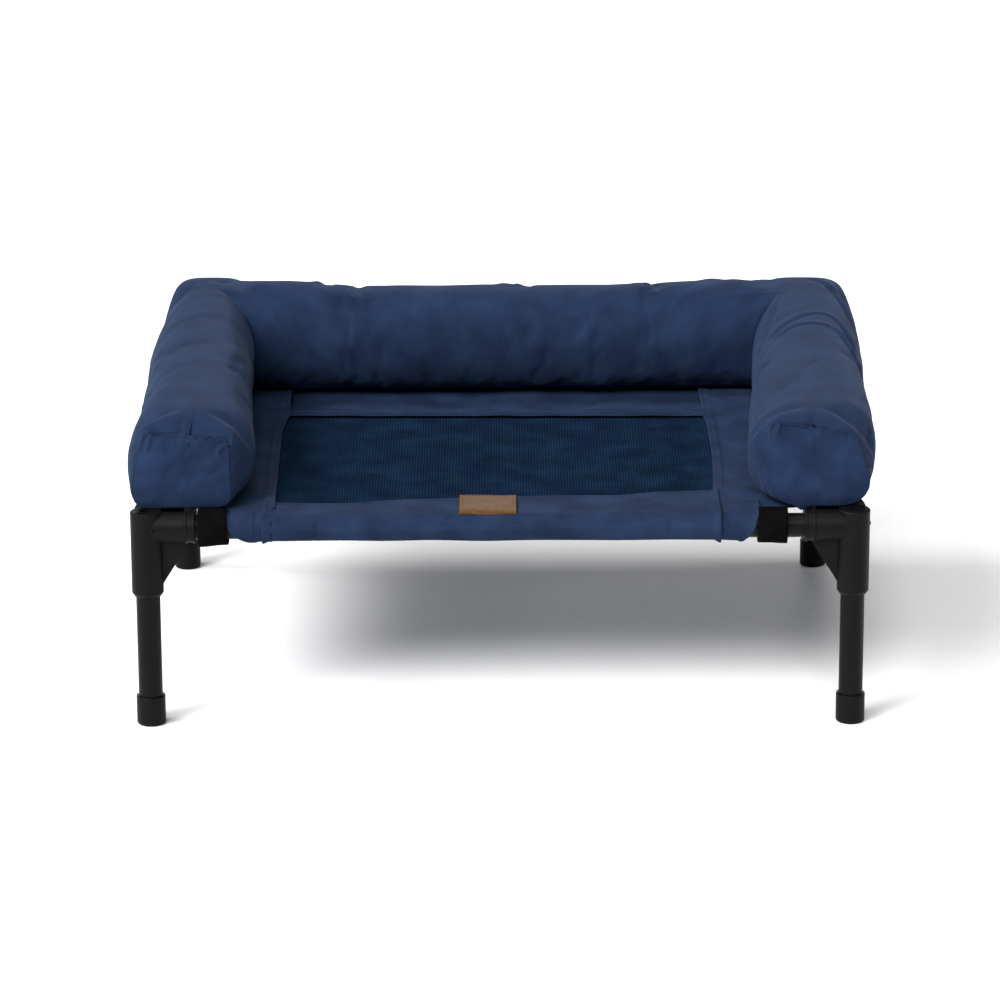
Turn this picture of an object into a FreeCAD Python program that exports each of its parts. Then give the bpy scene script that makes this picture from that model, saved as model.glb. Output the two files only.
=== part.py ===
"""Raised pet bed: a tube frame on four push-in legs, a mesh mat on its rails and a stuffed bolster.

Millimetres, +Z up. The origin is on the floor at the middle of the overall footprint.
The bed's open front faces -Y.
"""
import FreeCAD
import Part
import math
import os

Vector = FreeCAD.Vector
UP = Vector(0, 0, 1)
TO_X = FreeCAD.Rotation(Vector(0, 1, 0), 90)
TO_Y = FreeCAD.Rotation(Vector(1, 0, 0), -90)
UPRIGHT = FreeCAD.Rotation()

SIZES = {
    # frame
    "leg_spacing_wide": 584,
    "leg_spacing_deep": 434,
    "frame_height": 185,
    "tube_diameter": 20,
    "tube_wall": 1.2,
    "tube_fit": 0.08,
    "end_gap": 0.3,
    # corner moulding
    "post_wall": 3.12,
    "post_length": 72.5,
    "post_chamfer": 3,
    "post_chamfer_in": 1.9,
    "rim_chamfer": 0.8,
    "leg_grip": 44.5,
    "socket_wall": 2.72,
    "socket_reach": 41,
    "rail_drop": 14,
    "bead_radius": 1.3,
    "bead_sink": 0.4,
    "bead_pitch": 6.6,
    "web_thickness": 4,
    "web_width": 36,
    "web_depth": 37,
    "top_hole_diameter": 9,
    "top_hole_depth": 12,
    "pip_diameter": 4.6,
    "pip_offset": 5,
    # foot
    "foot_height": 25,
    "foot_wall": 2,
    "foot_floor": 4,
    "foot_fit": 0.05,
    "foot_round": 2.5,
    "foot_rim_round": 0.7,
    # mat
    "cloth": 1.2,
    "sleeve_gap": 0.3,
    "front_border": 42,
    "back_border": 137,
    "side_border": 106,
    "mesh_thickness": 0.8,
    "strap_bay": 41,
    "side_tunnel_gap": 11,
    "side_panel_inset": 20,
    "seam_gap": 0.3,
    # label
    "label_wide": 48,
    "label_deep": 42,
    "label_thickness": 1.2,
    "label_offset": 10,
    "label_round": 2,
    # bolster
    "back_thickness": 96,
    "back_height": 89,
    "back_overhang": 26,
    "arm_wide_front": 99,
    "arm_wide_back": 97,
    "arm_high_front": 73,
    "arm_high_back": 91,
    "arm_inset_front": 38,
    "arm_inset_back": 19,
    "arm_setback": 5,
    "end_round": 9,
    "squareness": 2.5,
    "cover_cloth": 1.5,
    "fill_gap": 0.3,
    "rest_gap": 0.4,
    # straps
    "strap_wide": 24,
    "strap_thickness": 1.5,
}

# Fused pieces run this far into each other, and a cutter this far past what it cuts.
OVERLAP = "1"
# Points round a stuffed section, and the shares of a rounded end's depth that get a section.
SECTION_POINTS = 28
END_SHARES = (0, 0.08, 0.3, 1)

doc = FreeCAD.newDocument("raised_pet_bed")
sheet = doc.addObject("Spreadsheet::Sheet", "Sizes")
for row, (alias, value) in enumerate(SIZES.items(), start=1):
    sheet.set(f"A{row}", alias)
    sheet.set(f"B{row}", str(value))
    sheet.setAlias(f"B{row}", alias)
doc.recompute()


def size(alias):
    """One driving size, as the sheet holds it."""
    return float(sheet.get(alias))


# Lengths that several pieces share, as expressions of the sheet's cells.
TUBE_RADIUS = "Sizes.tube_diameter / 2"
BORE_RADIUS = f"({TUBE_RADIUS} + Sizes.tube_fit)"
POST_RADIUS = f"({BORE_RADIUS} + Sizes.post_wall)"
SOCKET_RADIUS = f"({BORE_RADIUS} + Sizes.socket_wall)"
POST_FOOT = "(Sizes.frame_height - Sizes.post_length)"
RAIL_LEVEL = "(Sizes.frame_height - Sizes.rail_drop)"
LEG_TOP = f"({POST_FOOT} + Sizes.leg_grip)"
TUBE_BORE = "Sizes.tube_diameter - 2 * Sizes.tube_wall"
HALF_WIDE = "(Sizes.leg_spacing_wide / 2)"
HALF_DEEP = "(Sizes.leg_spacing_deep / 2)"
SLEEVE_RADIUS = f"({TUBE_RADIUS} + Sizes.sleeve_gap)"
MAT_UNDERSIDE = f"({RAIL_LEVEL} + {SLEEVE_RADIUS})"
MAT_TOP = f"({MAT_UNDERSIDE} + Sizes.cloth)"
BACK_REACH = f"({HALF_DEEP} + Sizes.back_overhang)"
FRONT_REACH = f"({HALF_DEEP} + {POST_RADIUS})"
SIDE_PANEL_REACH = f"({HALF_DEEP} - Sizes.side_panel_inset)"
HALF_MESH = f"({HALF_WIDE} - Sizes.side_border)"
MESH_FRONT = f"({HALF_DEEP} - Sizes.front_border)"
MESH_BACK = f"({HALF_DEEP} - Sizes.back_border)"
# A bare bay of rail is left for the strap between each corner's socket and the front or back tunnel.
HALF_TUNNEL = f"({HALF_WIDE} - Sizes.socket_reach - Sizes.strap_bay)"
HALF_SIDE_TUNNEL = f"({HALF_DEEP} - Sizes.socket_reach - Sizes.side_tunnel_gap)"
STRAP_PLACE = f"({HALF_WIDE} - Sizes.socket_reach - Sizes.strap_bay / 2)"
COLLAR_TOP = f"({RAIL_LEVEL} + {SOCKET_RADIUS} + Sizes.bead_radius)"
# The bolster overhangs the back rail, so along Y the frame's middle sits this far from the
# footprint's middle.
CENTRING = f"(({FRONT_REACH} - {BACK_REACH}) / 2)"


def worked_out(expression):
    """The value of an expression of the sheet's cells, for pieces whose outline is a formula."""
    return float(sheet.evalExpression(expression))


def place(piece, x="0", y="0", z="0", turn=UPRIGHT):
    """Sets a piece's turn, and binds where its origin goes."""
    piece.Placement = FreeCAD.Placement(Vector(), turn)
    for letter, expression in zip("xyz", (x, y, z)):
        piece.setExpression(f"Placement.Base.{letter}", expression)
    return piece


def primitive(kind, name, sizes, x="0", y="0", z="0", turn=UPRIGHT):
    """A Part primitive with its sizes bound to expressions."""
    piece = doc.addObject(f"Part::{kind}", name)
    for prop, expression in sizes.items():
        piece.setExpression(prop, expression)
    return place(piece, x, y, z, turn)


def cylinder(name, radius, length, x="0", y="0", z="0", turn=UPRIGHT):
    return primitive("Cylinder", name, {"Radius": radius, "Height": length}, x, y, z, turn)


def block(name, wide, deep, high, x="0", y="0", z="0"):
    return primitive("Box", name, {"Length": wide, "Width": deep, "Height": high}, x, y, z)


def fused(name, pieces):
    piece = doc.addObject("Part::MultiFuse", name)
    piece.Shapes = pieces
    piece.Refine = True
    return piece


def cut(name, base, tool):
    piece = doc.addObject("Part::Cut", name)
    piece.Base = base
    piece.Tool = tool
    return piece


def filleted(name, base, picks):
    """Rounds the edges of base: picks pairs a test of an edge with the expression of its radius."""
    doc.recompute()
    piece = doc.addObject("Part::Fillet", name)
    piece.Base = base
    edges = []
    for chosen, radius in picks:
        for number, edge in enumerate(base.Shape.Edges, start=1):
            if chosen(edge):
                edges.append((number, worked_out(radius), worked_out(radius)))
    piece.Edges = edges
    return piece


def tube_body(label, outer, inner, length):
    """A straight round tube along its own +Z, as a padded ring."""
    body = doc.addObject("PartDesign::Body", label)
    body.Label = label
    plane = next(item for item in body.Origin.OriginFeatures if item.Role == "XY_Plane")
    ring = body.newObject("Sketcher::SketchObject", f"{label}_ring")
    ring.AttachmentSupport = (plane, [""])
    ring.MapMode = "FlatFace"
    for diameter in (outer, inner):
        radius = worked_out(diameter) / 2
        circle = ring.addGeometry(Part.Circle(Vector(), UP, radius), False)
        ring.addConstraint(Sketcher.Constraint("Coincident", circle, 3, -1, 1))
        number = ring.addConstraint(Sketcher.Constraint("Diameter", circle, 2 * radius))
        ring.setExpression(f"Constraints[{number}]", diameter)
    pad = body.newObject("PartDesign::Pad", f"{label}_pad")
    pad.Profile = ring
    pad.setExpression("Length", length)
    return body


def corner(label, turn):
    """A three-way corner moulding: a post for the leg, two rail sockets, webs under them, a hole on top.

    The same moulding serves all four corners, a quarter turn apart. Its sockets point along its own
    +X and +Y.
    """
    post = [
        cylinder(f"{label}_post", POST_RADIUS,
                 "Sizes.post_length - Sizes.post_chamfer - Sizes.rim_chamfer",
                 z=f"{POST_FOOT} + Sizes.post_chamfer"),
        primitive("Cone", f"{label}_post_chamfer",
                  {"Radius1": f"{POST_RADIUS} - Sizes.post_chamfer_in", "Radius2": POST_RADIUS,
                   "Height": "Sizes.post_chamfer"}, z=POST_FOOT),
        primitive("Cone", f"{label}_rim",
                  {"Radius1": POST_RADIUS, "Radius2": f"{POST_RADIUS} - Sizes.rim_chamfer",
                   "Height": "Sizes.rim_chamfer"}, z="Sizes.frame_height - Sizes.rim_chamfer"),
        primitive("Sphere", f"{label}_pip", {"Radius": "Sizes.pip_diameter / 2"},
                  "Sizes.pip_offset", f"-sqrt({POST_RADIUS} ^ 2 - Sizes.pip_offset ^ 2)", RAIL_LEVEL),
    ]
    bores = [
        cylinder(f"{label}_leg_bore", BORE_RADIUS, "Sizes.leg_grip", z=POST_FOOT),
        cylinder(f"{label}_top_hole", "Sizes.top_hole_diameter / 2", "Sizes.top_hole_depth",
                 z="Sizes.frame_height - Sizes.top_hole_depth"),
    ]
    for way, turned, along in (("x", TO_X, UPRIGHT), ("y", TO_Y, FreeCAD.Rotation(UP, 90))):
        level = {"z": RAIL_LEVEL, "turn": turned}
        post.append(cylinder(f"{label}_{way}_socket", SOCKET_RADIUS, "Sizes.socket_reach", **level))
        for bead, back in enumerate(("Sizes.bead_radius", "Sizes.bead_radius + Sizes.bead_pitch")):
            post.append(primitive(
                "Torus", f"{label}_{way}_bead_{bead}",
                {"Radius1": f"{SOCKET_RADIUS} - Sizes.bead_sink", "Radius2": "Sizes.bead_radius"},
                **{way: f"Sizes.socket_reach - ({back})"}, **level))
        # A web is a wedge standing on its point: narrow at the post's foot, wide under the socket.
        web = primitive(
            "Wedge", f"{label}_{way}_web",
            {"Xmin": "0", "Xmax": f"{POST_RADIUS} - {OVERLAP}", "X2min": "0", "X2max": "Sizes.web_width",
             "Ymin": f"{RAIL_LEVEL} - {SOCKET_RADIUS} - Sizes.web_depth",
             "Ymax": f"{RAIL_LEVEL} - {SOCKET_RADIUS} + {OVERLAP}",
             "Zmin": "-Sizes.web_thickness / 2", "Zmax": "Sizes.web_thickness / 2",
             "Z2min": "-Sizes.web_thickness / 2", "Z2max": "Sizes.web_thickness / 2"})
        web.Placement = FreeCAD.Placement(Vector(), along * FreeCAD.Rotation(Vector(1, 0, 0), 90))
        post.append(web)
        bores.append(cylinder(f"{label}_{way}_bore", BORE_RADIUS, f"Sizes.socket_reach - {POST_RADIUS}",
                              **{way: POST_RADIUS}, **level))
    moulding = cut(label, fused(f"{label}_mass", post), fused(f"{label}_bores", bores))
    moulding.Label = label
    return moulding


def foot(label):
    """A moulded cap over the leg's lower end, rounded where it meets the floor."""
    radius = f"({TUBE_RADIUS} + Sizes.foot_fit + Sizes.foot_wall)"
    outside = cylinder(f"{label}_outside", radius, "Sizes.foot_height")
    half_way = size("foot_height") / 2
    rounded = filleted(f"{label}_rounded", outside, [
        (lambda edge: edge.Closed and edge.BoundBox.ZMax < half_way, "Sizes.foot_round"),
        (lambda edge: edge.Closed and edge.BoundBox.ZMin > half_way, "Sizes.foot_rim_round"),
    ])
    socket = cylinder(f"{label}_socket", f"{TUBE_RADIUS} + Sizes.foot_fit",
                      "Sizes.foot_height - Sizes.foot_floor", z="Sizes.foot_floor")
    cap = cut(label, rounded, socket)
    cap.Label = label
    return cap


def sleeve(label, length, panels):
    """A tunnel of cloth round a rail along its own +Z, with the flat panels that run in from its crown.

    Each panel is (start along the rail, length along it, nearest and furthest distance from its axis).
    The crown faces the piece's own -X and the panels run towards its own +Y.
    """
    outer_radius = f"({SLEEVE_RADIUS} + Sizes.cloth)"
    tunnel = [cylinder(f"{label}_tunnel", outer_radius, length, z=f"-({length}) / 2")]
    for number, (start, reach, near, far) in enumerate(panels):
        tunnel.append(block(f"{label}_panel_{number}", "Sizes.cloth", f"{far} - ({near})", reach,
                            x=f"-{outer_radius}", y=near, z=start))
    hollow = cylinder(f"{label}_hollow", SLEEVE_RADIUS, f"{length} + 2 * {OVERLAP}",
                      z=f"-({length}) / 2 - {OVERLAP}")
    piece = cut(label, fused(f"{label}_cloth", tunnel), hollow)
    piece.Label = label
    return piece


def stuffed_section(centre, across, wide, high):
    """A closed outline of a stuffed tube, fuller than an ellipse: wide along across, high along Z."""
    power = 2 / size("squareness")
    points = []
    for step in range(SECTION_POINTS):
        angle = 2 * math.pi * step / SECTION_POINTS
        reach_across = math.copysign(abs(math.cos(angle)) ** power, math.cos(angle))
        reach_up = math.copysign(abs(math.sin(angle)) ** power, math.sin(angle))
        points.append(centre + across * (wide / 2 * reach_across) + UP * (high / 2 * reach_up))
    outline = Part.BSplineCurve()
    outline.interpolate(points, PeriodicFlag=True)
    return Part.Wire(outline.toShape())


def stuffed_tube(start, end, start_size, end_size, end_round, inset):
    """A stuffed tube from start to end: its (width, height) changes evenly and its floor stays level.

    Its ends turn in over end_round, as a quarter circle. inset shrinks it all round, ends included.
    """
    along = (end - start).normalize()
    across = along.cross(UP)
    length = (end - start).Length
    turn = end_round - inset
    wires = []
    steps = [turn * share for share in END_SHARES]
    distances = steps + [length - 2 * inset - step for step in reversed(steps)]
    for distance in distances:
        share = (distance + inset) / length
        wide, high = [near + (far - near) * share for near, far in zip(start_size, end_size)]
        to_end = min(distance, length - 2 * inset - distance, turn)
        tuck = turn - math.sqrt(turn ** 2 - (turn - to_end) ** 2) + inset
        middle = start + along * (distance + inset) + UP * (high / 2)
        wires.append(stuffed_section(middle, across, wide - 2 * tuck, high - 2 * tuck))
    return Part.makeLoft(wires, True, True)


def soft_piece(label, shape):
    """A sewn or stuffed piece whose outline is a formula."""
    piece = doc.addObject("Part::Feature", label)
    piece.Label = label
    piece.Shape = shape
    piece.setExpression("Placement.Base.y", CENTRING)
    return piece


def bolster_part(name, start, end, start_size, end_size):
    """A cover as a closed skin, and the fibre fill that it holds."""
    skin = size("cover_cloth")
    outside, inside, fill = [
        stuffed_tube(start, end, start_size, end_size, size("end_round"), inset)
        for inset in (0, skin, skin + size("fill_gap"))
    ]
    return [soft_piece(f"{name}_cover", outside.cut(inside)), soft_piece(f"{name}_fill", fill)]


def bolster():
    """Two arms that widen apart and rise to the rear, and the back between them."""
    floor = worked_out(f"max({MAT_TOP}; Sizes.frame_height; {COLLAR_TOP})") + size("rest_gap")
    front = -worked_out(f"{HALF_DEEP} - Sizes.arm_setback")
    back = worked_out(BACK_REACH)
    front_size = (size("arm_wide_front"), size("arm_high_front"))
    back_size = (size("arm_wide_back"), size("arm_high_back"))
    near_x = worked_out(f"{HALF_WIDE} - Sizes.arm_inset_front")
    far_x = worked_out(f"{HALF_WIDE} - Sizes.arm_inset_back")
    pieces = []
    for name, sign in (("left_arm", -1), ("right_arm", 1)):
        start = Vector(sign * near_x, front, floor)
        end = Vector(sign * far_x, back, floor)
        pieces += bolster_part(name, start, end, front_size, back_size)
    # The back stops short of the arms' inner faces, which are nearest each other along its front.
    share = 1 - size("back_thickness") / (back - front)
    arm_line = near_x + (far_x - near_x) * share
    half_back = arm_line - max(front_size[0], back_size[0]) / 2 - size("rest_gap")
    middle = back - size("back_thickness") / 2
    seat = worked_out(MAT_TOP) + size("rest_gap")
    ends = Vector(-half_back, middle, seat), Vector(half_back, middle, seat)
    section = (size("back_thickness"), size("back_height"))
    return pieces + bolster_part("back", *ends, section, section)


def build():
    """Makes every piece in its place, and returns them."""
    pieces = []
    corners = (("front_left", -1, -1, 0), ("front_right", 1, -1, 90),
               ("back_right", 1, 1, 180), ("back_left", -1, 1, 270))
    for name, side, end, turn in corners:
        x = f"{side} * {HALF_WIDE}"
        y = f"{CENTRING} + {end} * {HALF_DEEP}"
        pieces.append(place(corner(f"{name}_corner", turn), x, y, "0", FreeCAD.Rotation(UP, turn)))
        leg = tube_body(f"{name}_leg", "Sizes.tube_diameter", TUBE_BORE,
                        f"{LEG_TOP} - Sizes.end_gap - Sizes.foot_floor")
        pieces.append(place(leg, x, y, "Sizes.foot_floor"))
        pieces.append(place(foot(f"{name}_foot"), x, y, "0"))
        strap = tube_body(f"{name}_strap",
                          "Sizes.tube_diameter + 2 * (Sizes.sleeve_gap + Sizes.strap_thickness)",
                          "Sizes.tube_diameter + 2 * Sizes.sleeve_gap", "Sizes.strap_wide")
        start = f"{side} * {STRAP_PLACE} - Sizes.strap_wide / 2"
        pieces.append(place(strap, start, y, RAIL_LEVEL, TO_X))

    for name, side in (("left_rail", -1), ("right_rail", 1)):
        length = f"Sizes.leg_spacing_deep - 2 * ({POST_RADIUS} + Sizes.end_gap)"
        rail = tube_body(name, "Sizes.tube_diameter", TUBE_BORE, length)
        start = f"{CENTRING} - ({length}) / 2"
        pieces.append(place(rail, f"{side} * {HALF_WIDE}", start, RAIL_LEVEL, TO_Y))
    for name, end in (("front_rail", -1), ("back_rail", 1)):
        length = f"Sizes.leg_spacing_wide - 2 * ({POST_RADIUS} + Sizes.end_gap)"
        rail = tube_body(name, "Sizes.tube_diameter", TUBE_BORE, length)
        level_y = f"{CENTRING} + {end} * {HALF_DEEP}"
        pieces.append(place(rail, f"-({length}) / 2", level_y, RAIL_LEVEL, TO_X))
    return pieces + mat() + bolster()


def mat():
    """The mesh and its four cloth borders, each closed round a rail, and the label."""
    down = Vector(0, 0, -1)
    pieces = []
    borders = (("front_sleeve", -1, "Sizes.front_border"), ("back_sleeve", 1, "Sizes.back_border"))
    for label, end, border in borders:
        panels = [
            (f"-{HALF_TUNNEL}", f"2 * {HALF_TUNNEL}", "0", "Sizes.side_panel_inset - Sizes.seam_gap"),
            (f"-{HALF_MESH}", f"2 * {HALF_MESH}", "0", f"{border} - Sizes.seam_gap"),
        ]
        turn = FreeCAD.Rotation(down, Vector(0, -end, 0), Vector(-end, 0, 0), "XYZ")
        piece = sleeve(label, f"2 * {HALF_TUNNEL}", panels)
        pieces.append(place(piece, "0", f"{CENTRING} + {end} * {HALF_DEEP}", RAIL_LEVEL, turn))
    # The side panels run on past their tunnels, beside the rail sockets, to the front and back borders.
    beside_socket = f"{SOCKET_RADIUS} + Sizes.bead_radius + Sizes.seam_gap"
    border = "Sizes.side_border - Sizes.seam_gap"
    for label, side in (("left_sleeve", -1), ("right_sleeve", 1)):
        panels = [
            (f"-{HALF_SIDE_TUNNEL}", f"2 * {HALF_SIDE_TUNNEL}", "0", border),
            (f"-{SIDE_PANEL_REACH}", f"2 * {SIDE_PANEL_REACH}", beside_socket, border),
        ]
        turn = FreeCAD.Rotation(down, Vector(-side, 0, 0), Vector(0, side, 0), "XYZ")
        piece = sleeve(label, f"2 * {HALF_SIDE_TUNNEL}", panels)
        pieces.append(place(piece, f"{side} * {HALF_WIDE}", CENTRING, RAIL_LEVEL, turn))
    mesh = block("mesh_panel", f"2 * {HALF_MESH}", f"{MESH_FRONT} + {MESH_BACK}", "Sizes.mesh_thickness")
    place(mesh, f"-{HALF_MESH}", f"{CENTRING} - {MESH_FRONT}",
          f"{MAT_TOP} - (Sizes.cloth + Sizes.mesh_thickness) / 2")
    blank = block("label_blank", "Sizes.label_wide", "Sizes.label_deep", "Sizes.label_thickness")
    patch = filleted("label", blank, [
        (lambda edge: edge.BoundBox.ZLength > size("label_thickness") / 2, "Sizes.label_round")])
    place(patch, "-Sizes.label_wide / 2 - Sizes.label_offset", f"{CENTRING} - {HALF_DEEP}", MAT_TOP)
    return pieces + [mesh, patch]


def check(pieces):
    """Stops if anything failed to recompute, or a piece has no valid solid."""
    for item in doc.Objects:
        if "Invalid" in item.State or "Error" in item.State:
            raise RuntimeError(f"{item.Label} failed: {item.State}")
    for piece in pieces:
        if piece.Shape.isNull() or not piece.Shape.isValid() or not piece.Shape.Solids:
            raise RuntimeError(f"{piece.Label} has no valid solid")
        if len(piece.Shape.Solids) != 1:
            raise RuntimeError(f"{piece.Label} has {len(piece.Shape.Solids)} solids")


parts = build()
doc.recompute()
check(parts)
os.makedirs("parts", exist_ok=True)
for part in parts:
    part.Shape.exportStep(f"parts/{part.Label}.step")
print(f"{len(parts)} pieces")
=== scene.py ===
"""Looks of the raised pet bed: stuffed navy bolster, cloth-bordered mesh mat, black tube frame.

Shapes are worked out in millimetres about the middle of the tube frame, on the floor, +Z up, front towards -Y.
"""
import math

import bmesh
import bpy
import numpy as np
from mathutils import Matrix, Vector


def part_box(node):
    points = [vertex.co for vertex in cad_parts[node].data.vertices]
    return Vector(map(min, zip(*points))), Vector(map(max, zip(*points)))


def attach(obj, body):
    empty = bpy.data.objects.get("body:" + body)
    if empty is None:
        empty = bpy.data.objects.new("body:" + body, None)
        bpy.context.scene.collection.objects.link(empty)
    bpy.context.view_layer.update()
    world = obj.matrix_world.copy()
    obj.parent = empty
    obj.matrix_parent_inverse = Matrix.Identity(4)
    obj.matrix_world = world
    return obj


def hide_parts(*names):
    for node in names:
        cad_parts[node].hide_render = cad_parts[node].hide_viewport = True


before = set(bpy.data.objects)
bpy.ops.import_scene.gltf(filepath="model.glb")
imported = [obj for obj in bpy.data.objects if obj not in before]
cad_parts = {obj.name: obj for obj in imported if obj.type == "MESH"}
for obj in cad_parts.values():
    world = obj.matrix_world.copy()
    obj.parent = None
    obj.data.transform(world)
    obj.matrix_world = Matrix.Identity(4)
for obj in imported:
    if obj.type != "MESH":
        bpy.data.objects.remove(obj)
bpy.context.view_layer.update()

MM = 0.001


def box_mm(node):
    """Lowest and highest corner of a CAD node, in millimetres."""
    low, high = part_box(node)
    return np.array(low) / MM, np.array(high) / MM


# Places taken from the frame.
FRONT_RAIL, BACK_RAIL = box_mm("front_rail"), box_mm("back_rail")
RIGHT_RAIL = box_mm("right_rail")
MIDDLE_Y = (FRONT_RAIL[0][1] + BACK_RAIL[1][1]) / 2
TUBE_RADIUS = (FRONT_RAIL[1][2] - FRONT_RAIL[0][2]) / 2
RAIL_Z = (FRONT_RAIL[1][2] + FRONT_RAIL[0][2]) / 2
RAIL_Y = (BACK_RAIL[0][1] + BACK_RAIL[1][1]) / 2 - MIDDLE_Y
RAIL_X = (RIGHT_RAIL[0][0] + RIGHT_RAIL[1][0]) / 2
FRAME_TOP = box_mm("front_left_corner")[1][2]
ARM = box_mm("right_arm_cover")
BACK = box_mm("back_cover")
ARM_FRONT = ARM[0][1] - MIDDLE_Y + 7
ARM_REAR = ARM[1][1] - MIDDLE_Y - 3


# ---- small tools

def smooth(value, start, end):
    """0 before start, 1 after end, and an even turn between."""
    share = np.clip((np.asarray(value, float) - start) / (end - start), 0, 1)
    return share * share * (3 - 2 * share)


def bump(value, centre, width):
    """A rounded hill of height 1 about centre."""
    return np.exp(-((np.asarray(value, float) - centre) / width) ** 2)


def waves(x, y, size, seed):
    """Slow unevenness from -1 to 1 over a surface, with features about size across."""
    source = np.random.default_rng(seed)
    total = np.zeros(np.broadcast(x, y).shape)
    for _ in range(7):
        angle, phase = source.uniform(0, math.pi), source.uniform(0, 2 * math.pi)
        length = size * source.uniform(0.7, 1.8)
        total += np.sin((x * math.cos(angle) + y * math.sin(angle)) * 2 * math.pi / length + phase)
    return total / 3.5


def spaced(points, count):
    """count points evenly along an open line of points."""
    points = np.asarray(points, float)
    along = np.r_[0, np.cumsum(np.linalg.norm(np.diff(points, axis=0), axis=1))]
    return np.stack([np.interp(np.linspace(0, along[-1], count), along, points[:, axis])
                     for axis in range(points.shape[1])], 1)


def curve_through(points, count):
    """count even points along a smooth line through the given ones."""
    points = np.asarray(points, float)
    padded = np.vstack([2 * points[0] - points[1], points, 2 * points[-1] - points[-2]])
    pieces = []
    for a, b, c, d in zip(padded, padded[1:], padded[2:], padded[3:]):
        t = np.linspace(0, 1, 24)[:, None]
        pieces.append(0.5 * (2 * b + (c - a) * t + (2 * a - 5 * b + 4 * c - d) * t ** 2
                             + (3 * b - a - 3 * c + d) * t ** 3))
    return spaced(np.vstack(pieces), count)


def grid_faces(rows, columns, around=False, first=0):
    """Quads of a grid of points numbered row by row. around joins the last column to the first."""
    faces = []
    for row in range(rows - 1):
        for column in range(columns if around else columns - 1):
            a = first + row * columns + column
            b = first + row * columns + (column + 1) % columns
            faces.append((a, b, b + columns, a + columns))
    return faces


def rod_faces(rows, sides, first):
    """Faces of a thin rod made of rows of points, closed at both ends."""
    end = first + (rows - 1) * sides
    return grid_faces(rows, sides, around=True, first=first) + [
        tuple(first + k for k in reversed(range(sides))), tuple(end + k for k in range(sides))]


def nearest_points(points, line):
    """For each place on a line, the number of the nearest point."""
    return [int(np.argmin(((points - spot) ** 2).sum(1))) for spot in line]


def unit(vector):
    """The vector with a length of 1."""
    return vector / max(np.linalg.norm(vector), 1e-9)


def new_piece(name, points, faces, material, cloth_at=None):
    """A mesh object from points in millimetres about the frame's middle.

    cloth_at is each point's place on the flat cloth."""
    points = np.asarray(points, float) + [0, MIDDLE_Y, 0]
    mesh = bpy.data.meshes.new(name)
    mesh.from_pydata((points * MM).tolist(), [], faces)
    mesh.update()
    if cloth_at is not None:
        layer = mesh.attributes.new("cloth_mm", "FLOAT_VECTOR", "POINT")
        flat = np.zeros((len(points), 3), np.float32)
        flat[:, :cloth_at.shape[1]] = cloth_at
        layer.data.foreach_set("vector", flat.ravel())
    mesh.shade_smooth()
    mesh.materials.append(material)
    piece = bpy.data.objects.new(name, mesh)
    bpy.context.scene.collection.objects.link(piece)
    return piece


def grid_normals(grid):
    """Unit normals of a grid of points, up where the grid runs +X along rows of +Y."""
    across = np.gradient(grid, axis=1)
    along = np.gradient(grid, axis=0)
    normals = np.cross(across, along)
    return normals / np.maximum(np.linalg.norm(normals, axis=2, keepdims=True), 1e-9)


def stitches(name, lines, material, long=3.0, gap=1.4, thick=0.45):
    """Sewn thread along each line of points: short rounded stitches that dip in at both ends."""
    points, faces = [], []
    sides, steps = 6, 8      # sides of the thread, and steps of the line for each stitch with its gap
    swelling = ((0.0, 0.25), (0.12, 0.8), (0.5, 1.0), (0.88, 0.8), (1.0, 0.25))     # thickness along a stitch
    for line, normal in lines:
        line = np.asarray(line, float)
        length = np.linalg.norm(np.diff(line, axis=0), axis=1).sum()
        count = max(int(length / (long + gap)), 1)
        fine = spaced(line, count * steps + 1)
        for stitch in range(count):
            part = spaced(fine[stitch * steps: (stitch + 1) * steps - 1], len(swelling))
            along = unit(part[-1] - part[0])
            up = np.asarray(normal, float)
            up = unit(up - along * up.dot(along))
            side = np.cross(along, up)
            first = len(points)
            for (share, swell), centre in zip(swelling, part):
                lift = up * (thick * 0.55 * math.sin(math.pi * share) - thick * 0.35)
                for k in range(sides):
                    angle = 2 * math.pi * k / sides
                    points.append(centre + lift
                                  + (side * math.cos(angle) + up * math.sin(angle)) * thick * swell)
            faces += rod_faces(len(swelling), sides, first)
    return new_piece(name, points, faces, material)


# ---- materials

def colour(hex_value):
    """An sRGB hex value as the linear colour that a shader takes."""
    channels = [int(hex_value[i:i + 2], 16) / 255 for i in (1, 3, 5)]
    return [c / 12.92 if c <= 0.04045 else ((c + 0.055) / 1.055) ** 2.4 for c in channels] + [1]


def node(tree, kind, settings=None, **inputs):
    """Adds a node: settings are its own properties, inputs are values or the sockets that feed it.

    An input is named by its label, with _ for a space, or by its number after an n."""
    made = tree.nodes.new(kind)
    for key, value in (settings or {}).items():
        setattr(made, key, value)
    for key, value in inputs.items():
        numbered = key[0] == "n" and key[1:].isdigit()
        socket = made.inputs[int(key[1:]) if numbered else key.replace("_", " ")]
        if isinstance(value, bpy.types.NodeSocket):
            tree.links.new(value, socket)
        else:
            socket.default_value = value
    return made


def material_of(name, **fixed):
    """A new material, its node tree and its Principled shader with fixed values set on its own sockets."""
    made = bpy.data.materials.new(name)
    made.use_nodes = True
    shader = made.node_tree.nodes["Principled BSDF"]
    for key, value in fixed.items():
        shader.inputs[key.replace("_", " ")].default_value = value
    return made, made.node_tree, shader


def ramp(tree, factor, stops):
    """A colour ramp over a factor, with a hex value at each stop."""
    stops = list(stops)
    made = node(tree, "ShaderNodeValToRGB", Fac=factor)
    elements = made.color_ramp.elements
    while len(elements) < len(stops):
        elements.new(0.5)
    for element, (place, shade) in zip(elements, stops):
        element.position = place
        element.color = colour(shade)
    return made.outputs["Color"]


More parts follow.
